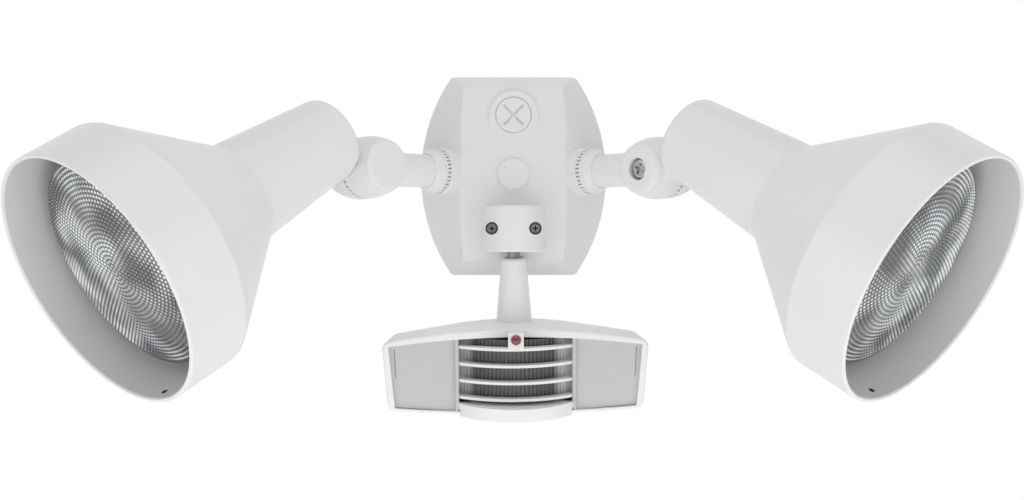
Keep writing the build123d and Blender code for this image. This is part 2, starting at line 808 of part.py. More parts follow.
def sensor_base():
    above = block((-beyond, beyond), (-beyond, beyond), (housing_split, housing_split + beyond))
    shell = housing_shell() - above
    for x in (-post_x, post_x):
        shell += case_post(x, housing_heel + 1.5, housing_split - shaft_gap)
        shell -= along_z(case_screw_radius + screw_clearance, -2 * beyond, housing_split + 1, x, post_y)
        shell -= along_z(case_screw_head + head_clearance, -2 * beyond, housing_heel + case_screw_sink, x,
                         post_y)
    for x in (-dial_x, dial_x):
        shell += along_z(dial_radius + dial_wall, dial_floor - housing_wall, dial_floor + dial_boss, x,
                         dial_y)
        shell -= along_z(dial_radius + running_gap, -2 * beyond, dial_floor - dial_web, x, dial_y)
        shell -= along_z(dial_shaft_radius + shaft_gap, -2 * beyond, dial_floor + 2 * dial_boss, x, dial_y)
    return only(shell)


def louvre_arc(front, ends, half):
    # Radius and centre, in plan, of the arc through (half, ends) and (0, front).
    rise = ends - front
    radius = (half ** 2 + rise ** 2) / (2 * rise)
    return radius, front + radius


def crescent(front, ends, half, depth):
    # A curved strip in plan whose front edge bows forward.
    radius, centre = louvre_arc(front, ends, half)
    ring = Pos(0, centre) * (Circle(radius) - Circle(radius - depth))
    return ring & (Pos(0, front + (ends - front) / 2 + depth / 2) * Rectangle(2 * half, ends - front + depth))


def louvre_grille():
    grille = None
    for i in range(fin_count):
        plan = crescent(louvre_front, louvre_ends, bay_half, fin_depth)
        fin = Pos(0, 0, fin_first - i * fin_pitch - fin_thickness / 2) * extrude(plan, fin_thickness)
        grille = fin if grille is None else grille + fin
    chin = crescent(chin_front, louvre_ends, bay_half, bay_half)
    chin_back = louvre_ends + 1
    chin &= Pos(0, (chin_front + chin_back) / 2) * Rectangle(2 * bay_half, chin_back - chin_front)
    grille += Pos(0, 0, chin_bottom) * extrude(chin, chin_top - chin_bottom)
    side_top = fin_first + 3.9
    for sign in (-1, 1):
        post = block((sign * bay_half, sign * (bay_half - louvre_wall)),
                     (louvre_ends - 2.5, louvre_ends + 10), (chin_bottom + 2.5, side_top))
        grille += post
    boss = block((-led_boss_width / 2, led_boss_width / 2), (led_boss_front, louvre_front + fin_depth - 0.5),
                 (fin_first, led_boss_top))
    boss = fillet(boss.edges().filter_by(Axis.Y), 1.0)
    grille += boss
    grille -= along_y(led_radius + shaft_gap, led_boss_front - 1, louvre_front + fin_depth + 2, 0, led_z)
    around = Rectangle(4 * beyond, 4 * beyond) - face_opening(bezel_lip)
    behind = extrude(facing(housing_front + beyond) * around, beyond + seat_gap)
    return only(grille - behind)


def indicator_led():
    start = louvre_front + fin_depth - 0.5
    body = along_y(led_radius, led_boss_front - 0.2, start, 0, led_z)
    dome = Pos(0, led_boss_front - 0.2, led_z) * Sphere(led_radius)
    return body + (dome - block((-9, 9), (led_boss_front - 0.2, 20), (led_z - 9, led_z + 9)))


def fresnel_lens():
    half = bay_half - louvre_wall - seat_gap
    plan = crescent(lens_front, louvre_ends + 8, half, lens_sheet)
    low = chin_top + seat_gap
    return Pos(0, 0, low) * extrude(plan, housing_crown - bezel_crown - lens_clearance - low)


def side_panel(sign):
    edge = front_outline(housing_wall + panel_gap)
    middle = (housing_crown + housing_bottom) / 2
    window = Pos(sign * beyond, middle) * Rectangle(2 * (beyond - bay_half - seat_gap), 2 * beyond)
    back = housing_front + bezel_depth + seat_gap
    return extrude(facing(back + panel_thickness) * (edge & window), panel_thickness)


def circuit_board():
    # The board stands on the two adjusters that are soldered to its lower edge.
    return block((-board_half, board_half), (board_y, board_y + board_thickness),
                 (pot_top + shaft_gap, board_top))


def pyro_sensor():
    can = along_y(pyro_radius, board_y - pyro_length, board_y - 0.05, 0, pyro_z)
    return fillet(can.edges().group_by(Axis.Y)[0], 0.6)


def relay():
    start = board_y + board_thickness + 0.05
    return block((relay_x - relay_size[0] / 2, relay_x + relay_size[0] / 2), (start, start + relay_size[1]),
                 (pyro_z - relay_size[2] / 2, pyro_z + relay_size[2] / 2))


def capacitor():
    start = board_y + board_thickness + 0.05
    return along_y(capacitor_radius, start, start + capacitor_length, capacitor_x, pyro_z)


def dial(x):
    top = dial_floor - dial_web - running_gap / 2
    knob = along_z(dial_radius, top - dial_height, top, x, dial_y)
    knob = fillet(knob.edges().group_by(Axis.Z)[0], 0.6)
    reach = dial_radius - 2 * dial_slot_half
    slot = block((x - reach, x + reach), (dial_y - dial_slot_half, dial_y + dial_slot_half),
                 (top - 2 * dial_height, top - dial_height + 2 * dial_slot_half))
    return knob - slot + along_z(dial_shaft_radius, top, pot_top - pot_cap - shaft_end_gap, x, dial_y)


def adjuster_pots():
    pots = []
    for x in (-dial_x, dial_x):
        pot = block((x - pot_size[0] / 2, x + pot_size[0] / 2),
                    (dial_y - pot_size[1] / 2, dial_y + pot_size[1] / 2), (pot_top - pot_size[2], pot_top))
        pots.append(pot - along_z(dial_shaft_radius + shaft_gap, dial_floor, pot_top - pot_cap, x, dial_y))
    return pots


def case_screws():
    screw = Rot(-90, 0, 0) * Rot(180, 0, 0) * pan_screw(case_screw_radius, case_screw_head, case_screw_rise,
                                                       case_screw_length, case_screw_recess)
    return [Pos(x, post_y, housing_heel + case_screw_sink) * screw for x in (-post_x, post_x)]


# Placing and writing

def save(name, shape):
    pieces = shape if isinstance(shape, list) else [shape]
    solids = [solid for piece in pieces for solid in piece.solids()]
    node = solids[0] if len(solids) == 1 else Compound(children=solids)
    node.label = name
    export_step(node, "parts/" + name + ".step")
    print(name, len(solids), round(sum(solid.volume for solid in solids)))


os.makedirs("parts", exist_ok=True)

save("cover_plate", cover_plate())
save("cover_gasket", cover_gasket())
save("mounting_strap", mounting_strap())
save("centre_bolt", centre_bolt())
save("bolt_cap", bolt_cap())
save("closure_plug", closure_plug())
save("sensor_clamp", sensor_clamp())
save("clamp_screws", clamp_screws())

arm_pieces = {"locknut": locknut()}
turning_pieces = {"lamp_arm": lamp_arm()}
head_pieces = {
    "lampholder": lampholder(),
    "swivel_screw": swivel_screw(),
    "socket_body": socket_body(),
    "screw_shell": screw_shell(),
    "centre_contact": centre_contact(),
    "bulb_seal": bulb_seal(),
    "bulb_reflector": bulb_reflector(),
    "bulb_lens": bulb_lens(),
    "bulb_base": bulb_base(),
    "bulb_tip_contact": bulb_tip_contact(),
}
for side in holder_turn:
    rolled = stem_frame(side) * Rot(holder_roll[side], 0, 0)
    head = rolled * Pos(pivot_distance, 0, 0) * Rot(0, holder_tilt, 0)
    for name, shape in arm_pieces.items():
        save(name + "_" + side, stem_frame(side) * shape)
    for name, shape in turning_pieces.items():
        save(name + "_" + side, rolled * shape)
    for name, shape in head_pieces.items():
        save(name + "_" + side, head * shape)

sensor_pieces = {
    "swivel_ball": swivel_ball(),
    "arm_stud": arm_stud(),
    "sensor_housing": sensor_housing(),
    "sensor_base": sensor_base(),
    "louvre_grille": louvre_grille(),
    "fresnel_lens": fresnel_lens(),
    "side_panel_left": side_panel(-1),
    "side_panel_right": side_panel(1),
    "indicator_led": indicator_led(),
    "circuit_board": circuit_board(),
    "pyro_sensor": pyro_sensor(),
    "relay": relay(),
    "capacitor": capacitor(),
    "time_dial": dial(-dial_x),
    "range_dial": dial(dial_x),
    "adjuster_pots": adjuster_pots(),
    "case_screws": case_screws(),
}
for name, shape in sensor_pieces.items():
    pieces = shape if isinstance(shape, list) else [shape]
    save(name, [sensor_frame() * piece for piece in pieces])
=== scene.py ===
import bpy
import bmesh
from math import asin, atan2, cos, pi, radians, sin, sqrt, tau
from mathutils import Matrix, Vector


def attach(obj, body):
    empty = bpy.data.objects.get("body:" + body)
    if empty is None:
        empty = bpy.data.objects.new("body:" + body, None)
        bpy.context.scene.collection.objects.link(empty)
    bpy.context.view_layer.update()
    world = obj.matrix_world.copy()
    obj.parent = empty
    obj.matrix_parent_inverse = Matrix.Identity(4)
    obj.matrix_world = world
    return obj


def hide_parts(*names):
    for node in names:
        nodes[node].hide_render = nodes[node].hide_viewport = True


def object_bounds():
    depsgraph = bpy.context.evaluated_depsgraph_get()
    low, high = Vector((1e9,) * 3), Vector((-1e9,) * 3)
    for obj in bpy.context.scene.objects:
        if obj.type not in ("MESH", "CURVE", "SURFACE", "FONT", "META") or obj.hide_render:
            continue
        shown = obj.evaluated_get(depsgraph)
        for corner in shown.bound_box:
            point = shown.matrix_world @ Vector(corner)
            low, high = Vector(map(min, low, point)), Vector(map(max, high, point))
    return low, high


# Motion sensor security light: finishes, pieces that need a finer mesh than the frame's, camera and light.
# Sizes are in millimetres unless a note says otherwise.
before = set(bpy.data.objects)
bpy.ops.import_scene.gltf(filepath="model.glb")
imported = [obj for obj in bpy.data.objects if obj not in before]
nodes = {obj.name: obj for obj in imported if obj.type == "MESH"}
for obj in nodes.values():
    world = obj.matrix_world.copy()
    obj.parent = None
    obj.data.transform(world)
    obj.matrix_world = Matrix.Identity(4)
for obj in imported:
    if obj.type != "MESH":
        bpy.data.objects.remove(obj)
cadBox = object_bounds()
sides = ("left", "right")
print("frame loaded:", len(nodes), "nodes")


# Finishes

def linear(hexText):
    channels = [int(hexText[i:i + 2], 16) / 255 for i in (1, 3, 5)]
    return [c / 12.92 if c <= 0.04045 else ((c + 0.055) / 1.055) ** 2.4 for c in channels] + [1.0]


def addNode(tree, kind, settings=None, inputs=None):
    node = tree.nodes.new(kind)
    for name, value in (settings or {}).items():
        setattr(node, name, value)
    for name, value in (inputs or {}).items():
        if isinstance(value, bpy.types.NodeSocket):
            tree.links.new(value, node.inputs[name])
        else:
            node.inputs[name].default_value = value
    return node


def startMaterial(name, baseColour, metallic, roughness, ior=None, coat=0.0, coatRoughness=0.1):
    material = bpy.data.materials.new(name)
    material.use_nodes = True
    tree = material.node_tree
    shader = tree.nodes["Principled BSDF"]
    shader.inputs["Base Color"].default_value = linear(baseColour)
    shader.inputs["Metallic"].default_value = metallic
    shader.inputs["Roughness"].default_value = roughness
    if ior:
        shader.inputs["IOR"].default_value = ior
    shader.inputs["Coat Weight"].default_value = coat
    shader.inputs["Coat Roughness"].default_value = coatRoughness
    place = addNode(tree, "ShaderNodeTexCoord").outputs["Object"]
    return material, tree, shader, place


def perMetre(millimetres):
    return 1000.0 / millimetres  # a texture scale that gives one feature per this many millimetres


def noiseAt(tree, place, millimetres, detail=2.0, roughness=0.5):
    noise = addNode(tree, "ShaderNodeTexNoise", {}, {
        "Vector": place, "Scale": perMetre(millimetres), "Detail": detail, "Roughness": roughness})
    return noise.outputs["Fac"]


def remapped(tree, value, low, high, fromLow=0.0, fromHigh=1.0):
    mapped = addNode(tree, "ShaderNodeMapRange", {}, {
        "Value": value, "From Min": fromLow, "From Max": fromHigh, "To Min": low, "To Max": high})
    return mapped.outputs["Result"]


def tinted(tree, value, darkHex, lightHex):
    mixed = addNode(tree, "ShaderNodeMix", {"data_type": "RGBA"}, {
        0: value, 6: linear(darkHex), 7: linear(lightHex)})
    return mixed.outputs[2]


def bumped(tree, shader, height, distance):
    bump = addNode(tree, "ShaderNodeBump", {}, {"Height": height, "Distance": distance, "Strength": 1.0})
    tree.links.new(bump.outputs["Normal"], shader.inputs["Normal"])


# Sprayed and baked polyester: even white, with a faint orange peel that breaks up its highlights.
powderCoat = {"name": "white powder coat on cast aluminium", "dark": "#EDEDED", "light": "#F3F3F3",
              "roughness": 0.38, "smoother": 0.06, "rougher": 0.08, "ior": 1.5,
              "grainMm": 0.9, "grainDepth": 0.00004, "driftMm": 60.0}  # depths of grain are in metres
# Spark-eroded tool: a very fine even grain, so the light falls off softly.
mouldedWhite = {"name": "moulded white polycarbonate", "dark": "#EEEEEE", "light": "#F4F4F4",
                "roughness": 0.42, "smoother": 0.05, "rougher": 0.07, "ior": 1.58,
                "grainMm": 0.5, "grainDepth": 0.00002, "driftMm": 45.0}


def makeWhite(spec):
    material, tree, shader, place = startMaterial(
        spec["name"], spec["light"], 0.0, spec["roughness"], spec["ior"])
    drift = noiseAt(tree, place, spec["driftMm"])
    tree.links.new(tinted(tree, drift, spec["dark"], spec["light"]), shader.inputs["Base Color"])
    grain = noiseAt(tree, place, spec["grainMm"], 3.0)
    uneven = remapped(tree, grain, spec["roughness"] - spec["smoother"], spec["roughness"] + spec["rougher"])
    tree.links.new(uneven, shader.inputs["Roughness"])
    bumped(tree, shader, grain, spec["grainDepth"])
    return material


# Painted shade for the notches and grooves, not a paint of its own.
notchShadeSpec = {"name": "painted shade in notches and grooves", "dark": "#7A7A7A", "light": "#969696",
             "roughness": 0.6, "ior": 1.5, "driftMm": 4.0}


def makeNotchShadeMaterial():
    # Painted shade: a flat soft grey that stands for the shade at the foot of the nut notches and in the clip
    # grooves.
    material, tree, shader, place = startMaterial(
        notchShadeSpec["name"], notchShadeSpec["dark"], 0.0, notchShadeSpec["roughness"], notchShadeSpec["ior"])
    drift = noiseAt(tree, place, notchShadeSpec["driftMm"])
    tree.links.new(tinted(tree, drift, notchShadeSpec["dark"], notchShadeSpec["light"]), shader.inputs["Base Color"])
    return material


greyPanel = {"name": "moulded light grey panel", "dark": "#C4C4C4", "light": "#CCCCCC",
             "roughness": 0.6, "ior": 1.5, "grainMm": 0.7, "grainDepth": 0.00003}


def makeGreyPanel():
    # A matt etched face: even grey without highlights.
    material, tree, shader, place = startMaterial(
        greyPanel["name"], greyPanel["light"], 0.0, greyPanel["roughness"], greyPanel["ior"])
    grain = noiseAt(tree, place, greyPanel["grainMm"], 4.0, 0.6)
    tree.links.new(tinted(tree, grain, greyPanel["dark"], greyPanel["light"]), shader.inputs["Base Color"])
    bumped(tree, shader, grain, greyPanel["grainDepth"])
    return material


# Each metal: colour, roughness, grain
plainMetals = {
    "zinc plated steel": ("#B9BABC", 0.16, 0.6),
    "dull zinc plate and stud gap shade": ("#85878A", 0.3, 0.6),
    "galvanised strip": ("#A9ACAE", 0.45, 1.6),
    "bright aluminium": ("#C9CACC", 0.28, 0.8),
    "drawn brass": ("#C9A24E", 0.32, 0.7),
}
metalPolish = {"smoother": 0.1, "rougher": 0.15, "grainDepth": 0.00001}


def makeMetal(name):
    # Turned or drawn metal: fine uneven polish that shows in its highlights.
    colour, roughness, grainMm = plainMetals[name]
    material, tree, shader, place = startMaterial(name, colour, 1.0, roughness)
    grain = noiseAt(tree, place, grainMm, 4.0, 0.6)
    uneven = remapped(tree, grain, roughness - metalPolish["smoother"], roughness + metalPolish["rougher"])
    tree.links.new(uneven, shader.inputs["Roughness"])
    bumped(tree, shader, grain, metalPolish["grainDepth"])
    return material


# Each plastic, rubber or glaze: dark and light tone, roughness, grain, index of refraction
plainPlastics = {
    "black rubber and painted hole shade": ("#1B1B1B", "#242424", 0.75, 1.2, 1.52),
    "glazed porcelain": ("#EDEAE2", "#F6F4EE", 0.35, 3.0, 1.54),
    "green circuit laminate": ("#12502C", "#1A6B3C", 0.4, 2.0, 1.5),
    "blue relay case": ("#20386E", "#27427F", 0.4, 1.5, 1.5),
    "black dial moulding": ("#1E1E1E", "#292929", 0.5, 0.8, 1.5),
}
plasticGrainDepth = 0.00002


def makePlastic(name):
    # Moulded, pressed or glazed: one plain colour with a slight grain under the gloss.
    dark, light, roughness, grainMm, ior = plainPlastics[name]
    material, tree, shader, place = startMaterial(name, light, 0.0, roughness, ior)
    grain = noiseAt(tree, place, grainMm, 3.0)
    tree.links.new(tinted(tree, grain, dark, light), shader.inputs["Base Color"])
    bumped(tree, shader, grain, plasticGrainDepth)
    return material


darkLens = {"name": "infrared polyethylene sheet", "dark": "#363636", "light": "#5E5E5E", "side": "#E8E8E8",
            "roughness": 0.4, "ior": 1.51, "ribMm": 2.4, "grainMm": 0.8, "grainDepth": 0.00002,
            "fadeFrom": 0.0235, "fadeTo": 0.0315}  # metres out from the middle


def makeDarkLens():
    # A thin milky-dark sheet with upright ribs, their light and shade painted as stripes, which pales where
    # its ends turn back into the case, brightened there as painted light against the shade.
    # Real grooves are about half a millimetre apart. They are drawn coarser, so that they show.
    material, tree, shader, place = startMaterial(
        darkLens["name"], darkLens["dark"], 0.0, darkLens["roughness"], darkLens["ior"])
    # Painted light and shade of the ribs: a sine of dark and light stripes across the sheet.
    across = addNode(tree, "ShaderNodeSeparateXYZ", {}, {"Vector": place}).outputs["X"]
    phase = addNode(tree, "ShaderNodeMath", {"operation": "MULTIPLY"}, {
        0: across, 1: tau * perMetre(darkLens["ribMm"])})
    wave = addNode(tree, "ShaderNodeMath", {"operation": "SINE"}, {0: phase.outputs["Value"]})
    ribs = remapped(tree, wave.outputs["Value"], 0.0, 1.0, -1.0, 1.0)
    ribbed = tinted(tree, ribs, darkLens["dark"], darkLens["light"])
    # Partly painted light: the ends fade to the pale side colour, brightened against the shade beside the
    # louvre.
    outward = addNode(tree, "ShaderNodeMath", {"operation": "ABSOLUTE"}, {0: across})
    fade = remapped(tree, outward.outputs["Value"], 0.0, 1.0, darkLens["fadeFrom"], darkLens["fadeTo"])
    stripesAndLitEnds = addNode(tree, "ShaderNodeMix", {"data_type": "RGBA"}, {
        0: fade, 6: ribbed, 7: linear(darkLens["side"])})
    tree.links.new(stripesAndLitEnds.outputs[2], shader.inputs["Base Color"])
    bumped(tree, shader, noiseAt(tree, place, darkLens["grainMm"]), darkLens["grainDepth"])
    return material


bulbGlass = {"name": "aluminised pressed glass", "dim": "#808284", "bright": "#D2D4D6", "valley": "#626466",
             "roughness": 0.12, "clear": 0.06, "frosted": 0.2, "coat": 0.4, "coatRoughness": 0.03,
             "highlightCloudMm": 26.0, "highlightCloudFrom": 0.38, "highlightCloudTo": 0.62, "rippleMm": 1.1, "rippleDepth": 0.00003}


def makeBulbGlass(name, dim, bright):
    # Pressed hard glass before a bright reflector: silvery, with painted highlight clouds a few centimetres
    # across, clear on its face.
    material, tree, shader, place = startMaterial(
        name, bright, 1.0, bulbGlass["roughness"], None, bulbGlass["coat"], bulbGlass["coatRoughness"])
    haze = noiseAt(tree, place, bulbGlass["highlightCloudMm"], 1.0)
    highlightCloud = remapped(tree, haze, 0.0, 1.0, bulbGlass["highlightCloudFrom"], bulbGlass["highlightCloudTo"])
    tree.links.new(tinted(tree, highlightCloud, dim, bright), shader.inputs["Base Color"])
    ripple = noiseAt(tree, place, bulbGlass["rippleMm"], 2.0)
    uneven = remapped(tree, ripple, bulbGlass["clear"], bulbGlass["frosted"])
    tree.links.new(uneven, shader.inputs["Roughness"])
    bumped(tree, shader, ripple, bulbGlass["rippleDepth"])
    return material


redLed = {"name": "tinted red epoxy", "dark": "#5E1220", "light": "#8E1F30", "roughness": 0.12, "ior": 1.54,
          "coat": 0.6, "coatRoughness": 0.03, "hazeMm": 2.0}


def makeRedLed():
    # Cast epoxy: deep and glossy, a little darker where it is thick.
    material, tree, shader, place = startMaterial(
        redLed["name"], redLed["light"], 0.0, redLed["roughness"], redLed["ior"], redLed["coat"],
        redLed["coatRoughness"])
    haze = noiseAt(tree, place, redLed["hazeMm"], 2.0)
    tree.links.new(tinted(tree, haze, redLed["dark"], redLed["light"]), shader.inputs["Base Color"])
    return material


whitePaint = makeWhite(powderCoat)
notchShade = makeNotchShadeMaterial()
whitePlastic = makeWhite(mouldedWhite)
greyPlastic = makeGreyPanel()
sheetLens = makeDarkLens()
silverGlass = makeBulbGlass(bulbGlass["name"], bulbGlass["dim"], bulbGlass["bright"])
valleyShadeGlass = makeBulbGlass("painted shade between the pressed dots", bulbGlass["valley"], bulbGlass["dim"])
redEpoxy = makeRedLed()
metals = {name: makeMetal(name) for name in plainMetals}
plastics = {name: makePlastic(name) for name in plainPlastics}
# The black rubber also serves as painted shade for the depth of small holes and recesses.
shade = plastics["black rubber and painted hole shade"]  # also stands for the depth of small holes and recesses

finishes = {
    "cover_plate": whitePaint, "locknut": whitePaint, "lamp_arm": whitePaint, "lampholder": whitePaint,
    "bolt_cap": whitePlastic, "closure_plug": whitePlastic, "sensor_clamp": whitePlastic,
    "swivel_ball": whitePlastic, "sensor_housing": whitePlastic, "sensor_base": whitePlastic,
    "louvre_grille": whitePlastic, "side_panel": greyPlastic, "fresnel_lens": sheetLens,
    "indicator_led": redEpoxy, "bulb_lens": silverGlass,
    "bulb_reflector": metals["bright aluminium"], "bulb_tip_contact": metals["bright aluminium"],
    "pyro_sensor": metals["bright aluminium"], "capacitor": metals["bright aluminium"],
    "bulb_base": metals["drawn brass"], "screw_shell": metals["drawn brass"],
    "centre_contact": metals["drawn brass"], "mounting_strap": metals["galvanised strip"],
    "centre_bolt": metals["zinc plated steel"], "swivel_screw": metals["zinc plated steel"],
    # The clamp screws and the stud take the darker zinc plate; on the stud it is painted shade for the gap
    # under the clamp.
    "case_screws": metals["zinc plated steel"], "clamp_screws": metals["dull zinc plate and stud gap shade"],
    "arm_stud": metals["dull zinc plate and stud gap shade"], "socket_body": plastics["glazed porcelain"],
    "bulb_seal": plastics["black rubber and painted hole shade"], "cover_gasket": plastics["black rubber and painted hole shade"],
    "circuit_board": plastics["green circuit laminate"], "relay": plastics["blue relay case"],
    "adjuster_pots": plastics["blue relay case"], "time_dial": plastics["black dial moulding"],
    "range_dial": plastics["black dial moulding"],
}


def finishFor(name):
    for side in sides:
        name = name.removesuffix("_" + side)
    return finishes[name]


for name, piece in nodes.items():
    piece.data.materials.clear()
    piece.data.materials.append(finishFor(name))
print("finishes set on", len(nodes), "nodes")


# Finer pieces

def turnMatrix(axis, degrees):
    return Matrix.Rotation(radians(degrees), 4, axis)


def shift(x, y, z):
    return Matrix.Translation((x, y, z))


def addObject(name, mesh, finish):
    data = bpy.data.meshes.new(name)
    mesh.to_mesh(data)
    mesh.free()
    data.materials.append(finish)
    made = bpy.data.objects.new(name, data)
    bpy.context.scene.collection.objects.link(made)
    return made


def addPiece(name, mesh, matrix, body, replaced, finish, smooth=True):
    # A mesh built in millimetres, set into the frame in metres, that rides with one body.
    bmesh.ops.transform(mesh, matrix=Matrix.Scale(0.001, 4) @ matrix, verts=mesh.verts)
    bmesh.ops.recalc_face_normals(mesh, faces=mesh.faces)
    for face in mesh.faces:
        face.smooth = smooth
    piece = addObject(name, mesh, finish)
    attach(piece, body)
    if replaced:
        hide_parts(replaced)
    return piece


def spunAboutX(mesh, profile, steps):
    # A closed turned shape from its (x, radius) profile.
    verts = [mesh.verts.new((x, radius, 0)) for x, radius in profile]
    edges = [mesh.edges.new(pair) for pair in zip(verts, verts[1:])]
    bmesh.ops.spin(mesh, geom=verts + edges, cent=(0, 0, 0), axis=(1, 0, 0), angle=tau, steps=steps,
                   use_merge=True)
    bmesh.ops.remove_doubles(mesh, verts=mesh.verts, dist=0.0005)


# Where each lamp stands: its hub on the cover, the turn of its stem and the roll of its knuckle, in degrees
headPlaces = {
    "left": {"hub": (-47.8, -20.0, 2.0), "turn": -135.0, "roll": 2.5},
    "right": {"hub": (47.8, -20.0, 2.0), "turn": -45.0, "roll": 4.2},
}
headShape = {"pivot": 56.2, "tilt": 28.5, "axisY": -2.9, "axisZ": 26.4}


def hubMatrix(side):
    return shift(*headPlaces[side]["hub"]) @ turnMatrix("Z", headPlaces[side]["turn"])


def lampMatrix(side):
    # From the lamp's own axis, X running out along it from the knuckle, to the frame.
    stem = hubMatrix(side) @ turnMatrix("X", headPlaces[side]["roll"])
    head = stem @ shift(headShape["pivot"], 0, 0) @ turnMatrix("Y", headShape["tilt"])
    return head @ shift(0, headShape["axisY"], headShape["axisZ"])


lens = {"edge": 163.9, "radius": 60.2, "crown": 7.6, "band": 6.9, "inside": 57.4, "thick": 2.9,
        "steps": 96, "outerRings": 24, "innerRings": 8,
        "pitch": 2.4, "dotRadius": 1.14, "dotRise": 0.62, "dotRim": 57.8, "middle": 0.001}
lensSphere = (lens["radius"] ** 2 + lens["crown"] ** 2) / (2 * lens["crown"])


def lensHeight(radius):
    return lens["edge"] + lens["crown"] - lensSphere + sqrt(lensSphere ** 2 - radius ** 2)


def makeBulbLens(side):
    # The domed face of a reflector bulb, pressed with rings of dots, each ring six dots longer than the last.
    mesh = bmesh.new()
    outerStep = lens["radius"] / lens["outerRings"]
    outer = [(lensHeight(i * outerStep), i * outerStep) for i in range(lens["outerRings"] + 1)]
    innerStep = lens["inside"] / lens["innerRings"]
    inner = [(lensHeight(i * innerStep) - lens["thick"], i * innerStep)
             for i in range(lens["innerRings"], -1, -1)]
    back = lens["edge"] - lens["band"]
    spunAboutX(mesh, outer + [(back, lens["radius"]), (back, lens["inside"])] + inner, lens["steps"])
    # The dome between the dots takes the darker copy of the glass: painted shade between the pressed dots.
    for face in mesh.faces:
        face.material_index = 1
    flattened = Matrix.Diagonal((lens["dotRise"] / lens["dotRadius"], 1, 1, 1))
    for ring in range(int(lens["dotRim"] / lens["pitch"]) + 1):
        radius = max(ring * lens["pitch"], lens["middle"])
        count = max(6 * ring, 1)
        lean = Matrix.Rotation(-asin(radius / lensSphere), 4, "Y") @ flattened
        for i in range(count):
            place = Matrix.Rotation(tau * i / count, 4, "X") @ shift(lensHeight(radius), 0, radius) @ lean
            bmesh.ops.create_icosphere(mesh, subdivisions=1, radius=lens["dotRadius"], matrix=place)
    piece = addPiece("stippled_lens_" + side, mesh, lampMatrix(side), "head_" + side,
                     "bulb_lens_" + side, silverGlass)
    piece.data.materials.append(valleyShadeGlass)


for side in sides:
    makeBulbLens(side)
print("stippled lenses made")

# The sensor hangs from its ball, with its own upright along Z; the turns are in degrees
sensorPlace = {"ball": (0.0, -38.5, -38.0), "tilt": 8.0, "lean": -0.4, "turn": 1.4}
sensorMatrix = (shift(*sensorPlace["ball"]) @ turnMatrix("X", sensorPlace["tilt"])
                @ turnMatrix("Y", sensorPlace["lean"]) @ turnMatrix("Z", sensorPlace["turn"]))
sheet = {"front": -34.0, "ends": -20.0, "half": 33.9, "thick": 1.15, "low": -95.9, "high": -57.4,
         "ribPitch": 2.4, "ribDeep": 0.4}


def makeRibbedSheet():
    # A bent sheet whose front face carries shallow upright ribs: every second fold of the bend is drawn back.
    rise = sheet["ends"] - sheet["front"]
    radius = (sheet["half"] ** 2 + rise ** 2) / (2 * rise)
    centre = Vector((0, sheet["front"] + radius, 0))
    spread = asin(sheet["half"] / radius)
    folds = 2 * int(2 * spread * radius / sheet["ribPitch"])
    mesh = bmesh.new()
    start = centre + radius * Vector((-sin(spread), -cos(spread), 0))
    edge = mesh.edges.new([mesh.verts.new((start.x, start.y, z)) for z in (sheet["low"], sheet["high"])])
    bmesh.ops.spin(mesh, geom=list(edge.verts) + [edge], cent=centre, axis=(0, 0, 1), angle=2 * spread,
                   steps=folds)
    for vert in mesh.verts:
        outward = Vector((vert.co.x, vert.co.y - centre.y, 0))
        fold = round((atan2(outward.x, -outward.y) + spread) / (2 * spread) * folds)
        if fold % 2:
            vert.co -= outward.normalized() * sheet["ribDeep"]
    bmesh.ops.recalc_face_normals(mesh, faces=mesh.faces)
    bmesh.ops.solidify(mesh, geom=list(mesh.faces), thickness=sheet["thick"] - sheet["ribDeep"])
    addPiece("ribbed_lens", mesh, sensorMatrix, "sensor", "fresnel_lens", sheetLens, False)


makeRibbedSheet()
print("ribbed sheet made")

# The profile is (height from the ball, radius)
collar = {"profile": ((-17.9, 7.6), (-17.7, 7.99), (-15.0, 7.85), (-14.2, 7.6), (-13.6, 7.15), (-13.2, 6.4),
                      (-13.1, 5.4), (-13.0, 4.15)), "steps": 64}


def makeCollar():
    # The arm's rounded top, drawn up round the stud as far as the clamp lets it swing.
    mesh = bmesh.new()
    spunAboutX(mesh, collar["profile"], collar["steps"])
    addPiece("arm_collar", mesh, sensorMatrix @ turnMatrix("Y", -90), "sensor", None, whitePlastic)


makeCollar()

notches = {"count": 34, "ring": 13.62, "side": 0.66, "from": 0.1, "to": 2.7}


def makeNotchShadeBars(side):
    # Dark bars set in the notches round each locknut: painted shade at the notch feet.
    mesh = bmesh.new()
    long = notches["to"] - notches["from"]
    bar = turnMatrix("X", 45) @ Matrix.Diagonal((long, notches["side"], notches["side"], 1))
    out = shift((notches["from"] + notches["to"]) / 2, 0, notches["ring"])
    for i in range(notches["count"]):
        around = Matrix.Rotation(tau * i / notches["count"], 4, "X")
        bmesh.ops.create_cube(mesh, size=1.0, matrix=around @ out @ bar)
    addPiece("nut_notch_shade_" + side, mesh, hubMatrix(side), "cover", None, notchShade, False)


for side in sides:
    makeNotchShadeBars(side)
print("arm collar and nut notches made")

weep = {"along": 178.0, "ring": 69.9, "radius": 1.5, "deep": 2.2, "segments": 24}


def makeWeepHoleShade(side):
    # A dark rod set in the drain hole at the lowest place of the rim: painted shade for the hole's depth.
    mesh = bmesh.new()
    bmesh.ops.create_cone(mesh, cap_ends=True, segments=weep["segments"], radius1=weep["radius"],
                          radius2=weep["radius"], depth=weep["deep"],
                          matrix=shift(weep["along"], 0, -weep["ring"]))
    addPiece("weep_hole_shade_" + side, mesh, lampMatrix(side), "head_" + side, None, shade, False)


for side in sides:
    makeWeepHoleShade(side)

recess = {"x": 13.2, "y": -38.33, "z": -33.5, "long": 3.4, "wide": 0.85, "deep": 0.3}


